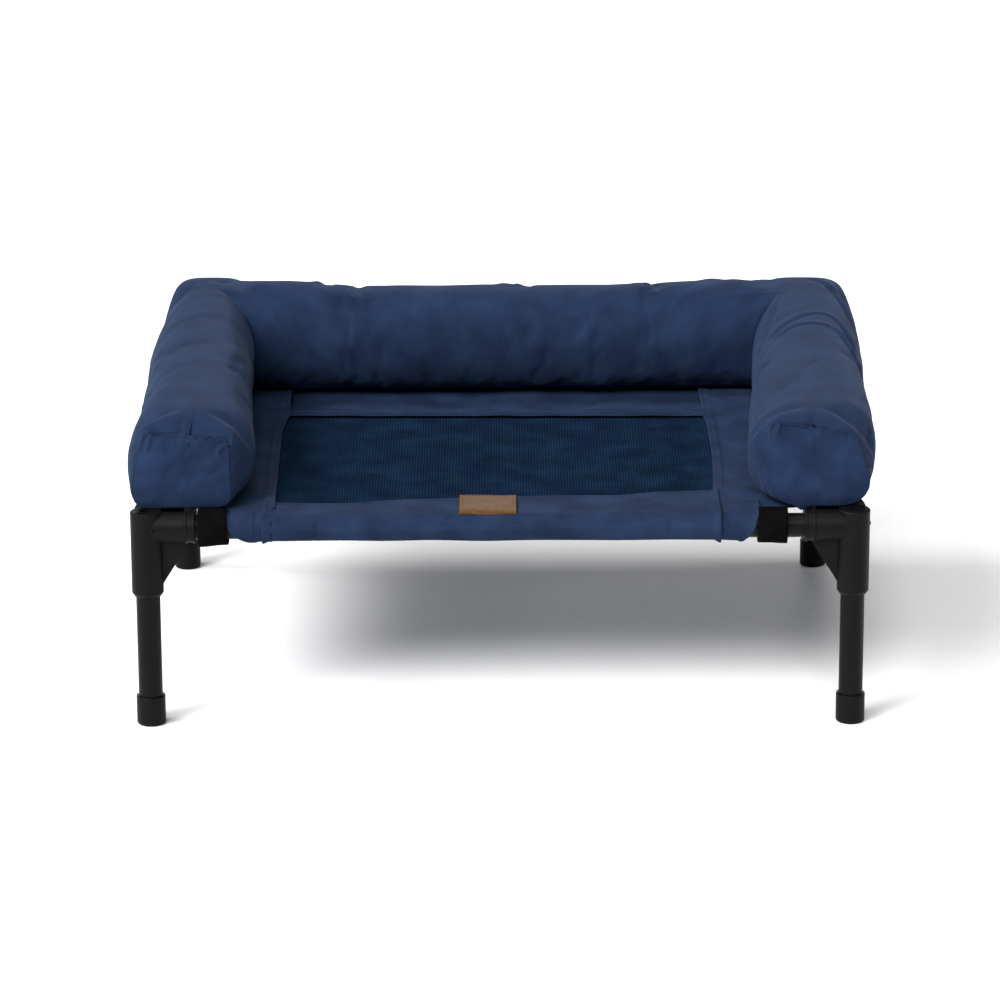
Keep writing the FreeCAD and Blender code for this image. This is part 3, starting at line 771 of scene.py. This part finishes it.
def trimmed_cloth(name, grid, thickness, material, keep=None):
    """Closed cloth of that thickness under a grid of its upper face, cut to where keep holds."""
    rows, columns = grid.shape[:2]
    keep = np.ones((rows, columns), bool) if keep is None else keep
    normals = grid_normals(grid)
    outer, inner = grid.reshape(-1, 3), (grid - normals * thickness).reshape(-1, 3)
    count = rows * columns
    wanted = keep.ravel()
    top = [face for face in grid_faces(rows, columns) if all(wanted[i] for i in face)]
    edges = {edge: None for face in top for edge in zip(face, face[1:] + face[:1])}
    faces = top + [tuple(i + count for i in reversed(face)) for face in top]
    faces += [(b, a, a + count, b + count) for a, b in edges if (b, a) not in edges]
    v = np.vstack([np.zeros((1, columns)), np.cumsum(np.linalg.norm(np.diff(grid, axis=0), axis=2), axis=0)])
    u = np.hstack([np.zeros((rows, 1)), np.cumsum(np.linalg.norm(np.diff(grid, axis=1), axis=2), axis=1)])
    flat = np.stack([u, v], 2).reshape(-1, 2)
    points, places = np.vstack([outer, inner]), np.vstack([flat, flat])
    used = np.zeros(2 * count, bool)
    for face in faces:
        used[list(face)] = True
    renumber = np.cumsum(used) - 1
    faces = [tuple(int(renumber[i]) for i in face) for face in faces]
    return new_piece(name, points[used], faces, material, places[used])


def wrap_profile(inner_edge, tail, count):
    """Profile of a border that runs in flat, goes round a rail and comes back under it: (out from rail, up) pairs.

    It starts at the tail under the mat and ends at the inner edge on top. Distances are from the rail's axis, with
    the outside of the bed positive."""
    turn = np.radians(np.linspace(-140, 90, 60))
    bend = np.stack([WRAP * np.cos(turn), WRAP * np.sin(turn)], 1)
    under = WRAP - 2 * CLOTH - 1.5
    return spaced(np.vstack([[(-tail, under - 1.0), (-tail + 6, under - 1.6)], bend, [(-inner_edge, WRAP)]]), count)


def edge_of(points, at):
    """Smooth edge through (place, value) pairs, read at places."""
    places, values = zip(*points)
    return np.interp(at, places, values)


def soft_edge(points, at, sway):
    """The same edge with its turns rounded over sway places."""
    values = edge_of(points, at)
    kernel = np.hanning(sway)
    padded = np.pad(values, sway // 2, mode="edge")
    return np.convolve(padded, kernel / kernel.sum(), "same")[sway // 2: sway // 2 + len(values)]


FRONT_EDGE = [(-200, -190), (-166, -192), (-129, -192), (-100, -186), (-83, -183), (-34, -178), (17, -173),
              (100, -172), (117, -166), (130, -161), (178, -159), (200, -158)]
BACK_EDGE = [(-200, 82), (0, 79), (200, 77)]
LEFT_EDGE = [(-206, -186), (-180, -187), (-78, -189), (20, -191.5), (60, -189.5), (82, -187), (133, -189), (200, -189)]
RIGHT_EDGE = [(-206, 178), (-155, 179), (-82, 182), (-39, 183), (54, 182.5), (77, 181), (200, 181)]


def border_relief(x, y, amount, seed):
    """Soft unevenness of border cloth stretched over the frame, from 0 up to amount."""
    return amount * (0.5 + 0.5 * waves(x, y, 55, seed))


def round_rail(place, profile, side=-1):
    """Row of points in a wrap's profile, at a place along the front rail, or with side 1 along the back one."""
    return np.stack([np.full(len(profile), place), side * (RAIL_Y + profile[:, 0]), RAIL_Z + profile[:, 1]], 1)


def raised(grid, relief):
    """The grid of points, each moved out by its relief."""
    return grid + grid_normals(grid) * relief[..., None]


def front_border():
    """Main front border with its crest over the rail, and the two side panels' ends that it laps over."""
    rows = 74
    x = np.linspace(-196, 182, 250)
    edge = soft_edge(FRONT_EDGE, x, 15)
    grid = np.stack([round_rail(place, wrap_profile(RAIL_Y + inner, TAIL, rows)) for place, inner in zip(x, edge)], 1)
    down = np.arctan2(grid[..., 2] - RAIL_Z, -RAIL_Y - grid[..., 1])        # 0 straight ahead, pi / 2 on top
    ahead = smooth(down, -0.6, -0.2) * (1 - smooth(down, 1.2, 1.6))
    relief = border_relief(grid[..., 0], grid[..., 1] * 1.6 + grid[..., 2], 0.7, 21)
    # The cloth stands a little off the rail along the crest and along the tunnel's stitched fold.
    relief += ahead * (0.9 * bump(down, 0.95, 0.28) + 0.8 * bump(down, 0.05 + 0.1 * np.sin(x / 60)[None], 0.2))
    relief += ahead * 0.7 * (bump(x, -155, 3)[None] - 0.8 * bump(x, -150.5, 2.5)[None]) * bump(down, 0.1, 0.9)
    relief += ahead * 0.8 * (bump(x, 136, 3)[None] - 0.7 * bump(x, 141, 2.5)[None]) * bump(down, 0.3, 0.5)
    # Rolled hems along both ends and the inner edge, and ends that lap over the side panels'.
    relief += 1.3 * (bump(x, -196, 2.4) + bump(x, 182, 2.4))[None]
    relief += 0.9 * bump(grid[..., 1], edge[None], 2.0) * (grid[..., 2] > RAIL_Z)
    relief += 1.4 * smooth(grid[..., 0], 176, 180) + 1.0 * (1 - smooth(grid[..., 0], -194, -188))
    pieces = [trimmed_cloth("front_border", raised(grid, relief), CLOTH, border_cloth)]
    # Each panel's end: its inner place under the border, and its cut edge as (degrees round the rail, place).
    ends = ((-1, "left", -188, ((-90, -201), (-45, -212), (-15, -221), (20, -225), (60, -226), (90, -229))),
            (1, "right", 174, ((-90, 197), (-45, 202), (-15, 208), (20, 211), (60, 213), (90, 215))))
    for side, label, inner, cut in ends:
        profile = wrap_profile(RAIL_Y - 186, 24, rows)
        turn = np.degrees(np.arctan2(profile[:, 1], profile[:, 0]))
        outer = edge_of(cut, np.clip(np.where(profile[:, 0] < 0, np.where(profile[:, 1] > 0, 90, -90), turn), -90, 90))
        start, end = (inner, outer) if side > 0 else (outer, inner)
        grid = np.stack([round_rail(start + (end - start) * share, profile) for share in np.linspace(0, 1, 22)], 1)
        relief = 0.25 + border_relief(grid[..., 0] * 2, grid[..., 1] * 2 + grid[..., 2] * 2, 0.8, 31 + side)
        relief += 1.2 * bump(grid[..., 0], outer[:, None], 2.2)
        pieces.append(trimmed_cloth(f"{label}_panel_end", raised(grid, relief), CLOTH, border_cloth))
    return pieces


def back_border():
    """Back border: flat under the bolster, wavy where the bolster presses on it, and round the back rail."""
    rows = 110
    x = np.linspace(-TUNNEL_X, TUNNEL_X, 260)
    edge = soft_edge(BACK_EDGE, x, 15)
    grid = np.stack([round_rail(place, wrap_profile(RAIL_Y - inner, TAIL, rows)[::-1], side=1)
                     for place, inner in zip(x, edge)], 1)
    flat = (1 - smooth(grid[..., 1], 130, 150))
    relief = 0.35 * border_relief(grid[..., 0], grid[..., 1] * 2, 1.0, 41)
    relief += flat * smooth(grid[..., 1], 84, 100) * 0.6 * (1 + waves(grid[..., 0], grid[..., 1] * 0.6, 70, 43))
    # The bolster presses the cloth down beside it, more in some places than in others.
    near_bolster = smooth(grid[..., 1], 92, 132) * (1 - smooth(grid[..., 1], 150, 190)) * (grid[..., 2] > RAIL_Z)
    relief -= near_bolster * (6.5 + 2.5 * waves(grid[..., 0], grid[..., 1] * 0.3, 60, 45))
    inward = grid[..., 1] - edge[None]
    relief += 0.9 * bump(inward, 0, 2.0) + 0.5 * (1 - smooth(inward, 12, 13)) * (grid[..., 2] > RAIL_Z)
    grid = raised(grid, relief)
    # It ends under the side borders' hems, except where it goes round the rail.
    keep = (abs(grid[..., 0]) < 192) | (grid[..., 1] > 150)
    return trimmed_cloth("back_border", grid, CLOTH, border_cloth, keep)


def side_border(side):
    """A side border from the mesh out round the side rail, notched at both ends to clear the corners."""
    label = "left" if side < 0 else "right"
    y = np.concatenate([np.linspace(-206, -TUNNEL_Y - 0.5, 34), np.linspace(-TUNNEL_Y, TUNNEL_Y, 150),
                        np.linspace(TUNNEL_Y + 0.5, 206, 20)])
    edge = soft_edge(LEFT_EDGE if side < 0 else RIGHT_EDGE, y, 9)
    grid = np.zeros((len(y), 90, 3))
    for row, (place, inner) in enumerate(zip(y, edge)):
        profile = wrap_profile(RAIL_X - abs(inner), TAIL, 90)[::-side]
        grid[row] = np.stack([side * (RAIL_X + profile[:, 0]), np.full(90, place), RAIL_Z + profile[:, 1]], 1)
    distance = np.abs(grid[..., 0])
    relief = 0.3 + border_relief(grid[..., 0], grid[..., 1], 0.4, 51 + side)
    # A doubled hem beside the mesh, a step thicker than the rest.
    inward = abs(grid[..., 0] - edge[:, None])
    relief += (grid[..., 2] > RAIL_Z) * (0.8 * (1 - smooth(inward, 8.5, 9.5)) + 0.9 * bump(inward, 0, 2.0))
    # Where the front border's end pulls on it, the panel lifts in a fold across the corner.
    corner_x, corner_y = (-212, -172) if side < 0 else (204, -166)
    across = (grid[..., 0] - corner_x) * 0.42 * side + (grid[..., 1] - corner_y)
    near_corner = (1 - smooth(distance, 214, 232)) * smooth(distance, 186, 196)
    relief += (2.4 * bump(across, 0, 5) - 0.5 * bump(across, -14, 7)) * near_corner
    if side > 0:
        across = (grid[..., 0] - 196) * 1.1 + (grid[..., 1] - 132)
        relief += 1.6 * bump(across, 0, 6) * (1 - smooth(distance, 212, 222)) * smooth(distance, 183, 188)
    grid = raised(grid, relief)
    beyond = np.abs(y)[:, None] > TUNNEL_Y + 0.2
    reach = np.interp(np.abs(y), [TUNNEL_Y, 206], [272, 228])[:, None]
    top = grid[..., 2] > RAIL_Z + WRAP - 2
    keep = ~beyond | (top & (distance < reach))
    return trimmed_cloth(f"{label}_border", grid, CLOTH, border_cloth, keep)


def mesh_sheet():
    """Woven mesh: flat coated yarns laid over and under each other, sagging a touch in the middle."""
    pitch, thick = 2.5, 0.12
    low_y, high_y = -200, 90
    low_x, high_x = -196, 188
    tuck = 5             # how far the yarns run in under the front border
    step = 7.5           # about how far apart the rings of a yarn are
    sag = 1.6
    rim = ((-0.5, -0.25), (0, -0.5), (0.5, -0.25), (0.5, 0.25), (0, 0.5), (-0.5, 0.25))      # a yarn's section
    points, faces, places = [], [], []

    def height(x, y):
        across, along = np.clip(x / 190, -1, 1), np.clip((y + 50) / 140, -1, 1)
        return MAT_Z - CLOTH - 0.7 - sag * np.cos(across * math.pi / 2) * np.cos(along * math.pi / 2)

    def yarn(start, end, lift, wide):
        """One flat yarn, its middle that far above the mesh's."""
        start, end = np.array(start), np.array(end)
        steps = int(np.linalg.norm(end - start) / step) + 1
        heading = (end - start) / np.linalg.norm(end - start)
        side = np.array([-heading[1], heading[0]])
        first = len(points)
        for spot in np.linspace(start, end, steps):
            z = height(*spot) + lift
            for across, up in rim:
                place = spot + side * across * wide
                points.append((*place, z + up * thick))
                places.append(place)
        faces.extend(rod_faces(steps, len(rim), first))

    for x in np.arange(low_x, high_x + 0.1, pitch):
        yarn((x, float(edge_of(FRONT_EDGE, x)) - tuck), (x, high_y), 0.16, 2.6)
    for y in np.arange(low_y + 2, high_y, pitch):
        xs = np.linspace(low_x, high_x, 385)
        allowed = xs[edge_of(FRONT_EDGE, xs) - tuck < y]
        if len(allowed) > 20:
            yarn((allowed[0], y), (allowed[-1], y), -0.16, 0.9)
    return new_piece("mesh_sheet", points, faces, mesh_yarn, np.array(places))


def sewn_label():
    """Leatherette label folded over the front crest, sewn on all round."""
    rows, columns = 46, 50
    low_x, high_x, deep = -34, 14, 40
    x = np.linspace(low_x, high_x, columns)
    grid = np.zeros((rows, columns, 3))
    for column, place in enumerate(x):
        profile = wrap_profile(RAIL_Y - 172, TAIL, 400)
        turn = np.arctan2(profile[:, 1], profile[:, 0])
        lower_edge = int(np.argmax((turn > 1.12 + 0.05 * math.sin(place / 6)) & (turn < 1.4)))
        grid[:, column] = round_rail(place, spaced(profile[lower_edge:], rows))
    from_side = np.minimum(x - low_x, high_x - x)
    from_end = np.minimum(np.linspace(0, deep, rows), np.linspace(deep, 0, rows))
    inward = np.minimum(from_side[None], from_end[:, None])
    relief = 2.3 - 0.7 * (1 - smooth(inward, 0, 1.4)) - 0.45 * bump(inward, 3.0, 0.9)
    grid = raised(grid, relief + 0.25 * waves(grid[..., 0], grid[..., 1], 22, 61))
    label = trimmed_cloth("leatherette_label", grid, 1.2, leatherette)
    line = [grid[3, 3:-3], grid[3:-3, -4], grid[-4, 3:-3][::-1], grid[3:-3, 3][::-1]]
    sewing = stitches("label_stitching", [(part, (0, -0.35, 0.94)) for part in line], label_thread,
                      long=2.2, gap=0.8, thick=0.32)
    return label, sewing


def strap(name, place, front, sway):
    """Hook-and-loop strap round a rail beside its corner: one loose turn, with its end lapped over outside."""
    side = -1 if front else 1
    turns = np.linspace(math.radians(205), math.radians(-215), 90)
    across = np.linspace(-12, 12, 9)
    grid = np.zeros((len(turns), len(across), 3))
    for row, turn in enumerate(turns):
        share = row / (len(turns) - 1)
        radius = WRAP + 1.6 + 1.9 * smooth(share, 0.55, 0.9) + sway * bump(share, 0.62, 0.10)
        radius += 1.0 * bump(turn, math.radians(100), 0.5)
        slant = 2.2 * (share - 0.4) * sway
        for column, offset in enumerate(across):
            grid[row, column] = (place + offset + slant, side * (RAIL_Y + radius * math.cos(turn)),
                                 RAIL_Z + radius * math.sin(turn) + 0.10 * sway * offset * bump(share, 0.7, 0.2))
    grid += 0.35 * grid_normals(grid) * waves(grid[..., 0], grid[..., 2], 14, 71)[..., None]
    if not front:
        grid = grid[::-1]
    return trimmed_cloth(name, grid, 1.3, tape)


def mat_stitching():
    """Rows of lockstitch along the hems, the seams over the front rail and the folds."""
    lines = []
    top = MAT_Z + 1.6
    y = np.linspace(-150, 78, 60)
    for edge, hem in ((LEFT_EDGE, -7.5), (RIGHT_EDGE, 7.5)):
        lines.append((np.stack([soft_edge(edge, y, 9) + hem, y, np.full(60, top)], 1), (0, 0, 1)))
    x = np.linspace(-180, 172, 80)
    lines.append((np.stack([x, soft_edge(BACK_EDGE, x, 15) + 5.5, np.full(80, top - 0.3)], 1), (0, 0, 1)))
    turn = np.radians(np.linspace(80, -70, 24))
    bend = (WRAP + 0.9) * np.stack([np.cos(turn), np.sin(turn)], 1)
    for place in (-203, 187):
        lines.append((round_rail(place, bend), (0, -1, 0.3)))
    return stitches("mat_stitching", lines, thread, long=2.8, gap=1.3, thick=0.4)


def mat():
    """The mat's borders, mesh, label and sewing, and the straps."""
    front = front_border()
    back = back_border()
    sides = [side_border(-1), side_border(1)]
    mesh = mesh_sheet()
    label, sewing = sewn_label()
    threads = mat_stitching()
    # Each piece, the node it stands for, its slot, its flat size in metres and what it rests on.
    pieces = [(front[0], "front_sleeve", "mat_cloth", (0.378, 0.112), "front_rail"),
              (front[1], None, "mat_cloth", (0.036, 0.104), "front_rail"),
              (front[2], None, "mat_cloth", (0.036, 0.104), "front_rail"),
              (back, "back_sleeve", "mat_cloth", (2 * TUNNEL_X * MM, 0.222), "back_rail"),
              (sides[0], "left_sleeve", "mat_cloth", (0.412, 0.19), "left_rail"),
              (sides[1], "right_sleeve", "mat_cloth", (0.412, 0.19), "right_rail"),
              (mesh, "mesh_panel", "mesh_cloth", (0.384, 0.275), "front_border"),
              (label, "label", "label_leather", (0.048, 0.046), "front_border"),
              (sewing, None, "label_leather", None, None),
              (threads, None, "mat_cloth", None, None)]
    for name, place, sway in (("front_left_strap", -237, 1.0), ("front_right_strap", 225, -0.5),
                              ("back_left_strap", -230.5, 0.4), ("back_right_strap", 230.5, -0.4)):
        end = name.split("_")[0]
        pieces.append((strap(name + "_tape", place, end == "front", sway), name, "strap_webbing", (0.024, 0.098),
                       end + "_rail"))
    for piece, stands_for, slot, flat, support in pieces:
        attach(piece, "bed")
        if stands_for:
            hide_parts(stands_for)


def frame_finishes():
    """The moulded and coated frame parts keep their CAD shapes and take their real finishes."""
    for name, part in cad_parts.items():
        finish = (corner_plastic if name.endswith("_corner") else foot_plastic if name.endswith("_foot")
                  else powder_coat)
        if not part.hide_render:
            part.data.materials.clear()
            part.data.materials.append(finish)


bolster()
mat()
frame_finishes()
